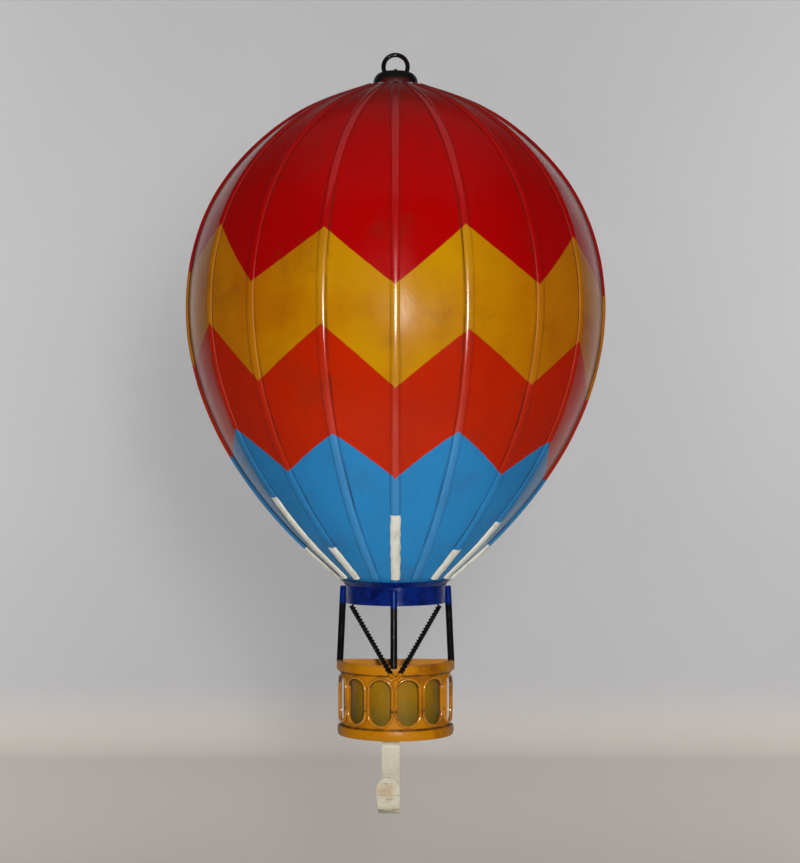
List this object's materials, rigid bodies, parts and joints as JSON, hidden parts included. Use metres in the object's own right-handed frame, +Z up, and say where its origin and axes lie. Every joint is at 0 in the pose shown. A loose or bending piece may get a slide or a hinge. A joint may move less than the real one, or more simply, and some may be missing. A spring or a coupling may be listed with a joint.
{
  "type": "half-round hot-air balloon wall hanger",
  "caption": "Half-round hot-air balloon wall hanger in painted sheet metal, with beaded gores, a mouth collar, a basket on rods and a strip hook below.",
  "frame": {"origin": "centre of the hanging ring's eye, where the nail goes", "axes": "+Z up, +Y into the wall, -Y towards the viewer, +X to the viewer's right"},
  "size_m": [0.2938, 0.0969, 0.5225],
  "materials": {
    "envelope_enamel": "glossy enamel in four zigzag bands: red, ochre, orange-red and sky blue",
    "bead_enamel": "glossy enamel in the colour of the band it crosses, with darker grooves",
    "cream_paint": "uneven hand-brushed satin",
    "yellow_enamel": "glossy enamel",
    "olive_paint": "satin",
    "blue_enamel": "glossy enamel, thick at the edges",
    "black_enamel": "glossy enamel"
  },
  "bodies": {
    "ornament": {"basket_back_plate": "yellow_enamel", "basket_bottom_band": "yellow_enamel", "basket_floor": "yellow_enamel", "basket_liner": "olive_paint", "basket_top_band": "yellow_enamel", "basket_wall": "yellow_enamel", "bead_sleeve_1": "cream_paint", "bead_sleeve_2": "cream_paint", "bead_sleeve_3": "cream_paint", "bead_sleeve_5": "cream_paint", "bead_sleeve_7": "cream_paint", "bead_sleeve_8": "cream_paint", "bead_sleeve_9": "cream_paint", "crown_cap": "black_enamel", "front_rod": "black_enamel", "gore_1": "envelope_enamel", "gore_2": "envelope_enamel", "gore_3": "envelope_enamel", "gore_4": "envelope_enamel", "gore_5": "envelope_enamel", "gore_6": "envelope_enamel", "gore_7": "envelope_enamel", "gore_8": "envelope_enamel", "hook_rivets": "cream_paint", "hook_strip": "cream_paint", "left_rod": "black_enamel", "left_stay": "black_enamel", "mouth_collar": "blue_enamel", "oval_rim_1": "yellow_enamel", "oval_rim_2": "yellow_enamel", "oval_rim_3": "yellow_enamel", "oval_rim_4": "yellow_enamel", "oval_rim_5": "yellow_enamel", "oval_rim_6": "yellow_enamel", "right_rod": "black_enamel", "right_stay": "black_enamel", "ring_lug": "black_enamel", "seam_bead_1": "bead_enamel", "seam_bead_2": "bead_enamel", "seam_bead_3": "bead_enamel", "seam_bead_4": "bead_enamel", "seam_bead_5": "bead_enamel", "seam_bead_6": "bead_enamel", "seam_bead_7": "bead_enamel", "seam_bead_8": "bead_enamel", "seam_bead_9": "bead_enamel", "solder_drop": "yellow_enamel"},
    "ring": {"hanging_ring": "black_enamel"}
  },
  "joints": [
    {"name": "ring_tilt", "type": "hinge", "parent": "ornament", "child": "ring", "pos_m": [0, 0, -0.0084], "axis": [1, 0, 0], "range_deg": [-90, 22]}
  ]
}
